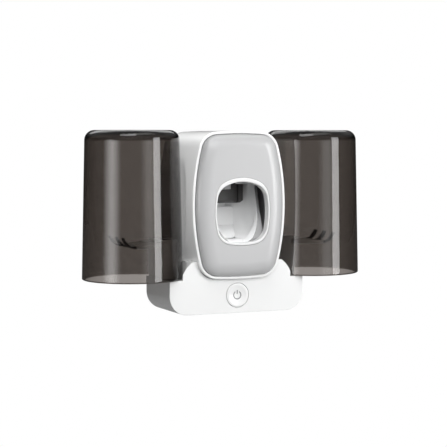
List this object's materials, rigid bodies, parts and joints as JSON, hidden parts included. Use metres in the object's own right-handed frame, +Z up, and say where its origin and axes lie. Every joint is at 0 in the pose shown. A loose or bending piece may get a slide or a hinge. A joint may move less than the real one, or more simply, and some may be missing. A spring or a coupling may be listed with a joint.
{
  "type": "ultraviolet toothbrush holder",
  "caption": "Wall-hung toothbrush holder: white tower with a push toothpaste pump behind a window, between smoked tumblers that hang over ultraviolet-lit brush racks.",
  "frame": {"origin": "under the middle of the space that the holder takes up, on the plane of the base's underside", "axes": "+X to the viewer's right, +Y into the wall, +Z up; the window faces -Y"},
  "size_m": [0.208, 0.072, 0.1273],
  "materials": {
    "white_gloss": "smooth moulded, glossy",
    "grey_panel": "smooth moulded, satin gloss",
    "smoked_clear": "clear smoked, polished",
    "dark_plastic": "fine matt texture",
    "inner_white": "satin moulded",
    "silicone": "soft, translucent grey",
    "dark_silicone": "soft, matt",
    "circuit_board": "solder mask",
    "foam_pad": "fine closed-cell foam",
    "cell_sleeve": "shrunk film over a metal can",
    "lead_sleeve": "smooth insulation",
    "lamp_glass": "polished, faint violet",
    "steel": "bright zinc"
  },
  "bodies": {
    "holder": {"base_shell": "white_gloss", "base_cover": "white_gloss", "tact_switch": "dark_plastic", "main_board": "circuit_board", "battery": "cell_sleeve", "charge_inlet": "steel", "tower_shell": "white_gloss", "rear_cover": "white_gloss", "brush_chamber": "inner_white", "paddle_pin": "steel", "paddle_spring": "steel", "pump_block": "dark_plastic", "paste_nozzle": "inner_white", "pump_hose": "silicone", "tube_socket": "silicone", "rear_screw_1": "steel", "rear_screw_2": "steel", "rear_screw_3": "steel", "rear_screw_4": "steel", "base_screw_left": "steel", "base_screw_right": "steel", "tower_screw_left": "steel", "tower_screw_right": "steel", "rack_left": "white_gloss", "rack_right": "white_gloss", "lamp_lens_left": "lamp_glass", "lamp_lens_right": "lamp_glass", "lamp_board_left": "circuit_board", "lamp_board_right": "circuit_board", "lamp_lead_left": "lead_sleeve", "lamp_lead_right": "lead_sleeve", "prong_tip_left_1": "dark_silicone", "prong_tip_left_2": "dark_silicone", "prong_tip_left_3": "dark_silicone", "prong_tip_right_1": "dark_silicone", "prong_tip_right_2": "dark_silicone", "prong_tip_right_3": "dark_silicone"},
    "left_tumbler": {"cup_left": "smoked_clear"},
    "right_tumbler": {"cup_right": "smoked_clear"},
    "cover": {"front_cover": "grey_panel", "window_bezel": "white_gloss"},
    "button": {"power_button": "white_gloss"},
    "paddle": {"push_paddle": "inner_white"},
    "slider": {"squeeze_slider": "inner_white"},
    "wall_bracket": {"wall_plate": "inner_white", "adhesive_pad": "foam_pad"}
  },
  "joints": [
    {"name": "left_tumbler_lift", "type": "slide", "parent": "holder", "child": "left_tumbler", "axis": [0, 0, 1], "range_m": [0, 0.115]},
    {"name": "right_tumbler_lift", "type": "slide", "parent": "holder", "child": "right_tumbler", "axis": [0, 0, 1], "range_m": [0, 0.115]},
    {"name": "cover_pull", "type": "slide", "parent": "holder", "child": "cover", "axis": [0, -1, 0], "range_m": [0, 0.04]},
    {"name": "button_press", "type": "slide", "parent": "holder", "child": "button", "axis": [0, 1, 0], "range_m": [0, 0.0008], "stiffness_N_per_m": 600, "springref_m": -0.0015},
    {"name": "paddle_swing", "type": "hinge", "parent": "holder", "child": "paddle", "pos_m": [0, 0.0059, 0.071], "axis": [1, 0, 0], "range_deg": [0, 18], "stiffness_Nm_per_rad": 0.08, "springref_deg": -14.32, "deforming": ["paddle_spring"]},
    {"name": "slider_squeeze", "type": "slide", "parent": "holder", "child": "slider", "axis": [0, -1, 0], "range_m": [0, 0.0034], "deforming": ["pump_hose"]},
    {"name": "wall_bracket_unhook", "type": "slide", "parent": "holder", "child": "wall_bracket", "axis": [0, 0, -1], "range_m": [0, 0.012]}
  ],
  "couplings": [
    {"joint": "slider_squeeze", "follows": "paddle_swing", "m_per_rad": 0.01082}
  ]
}
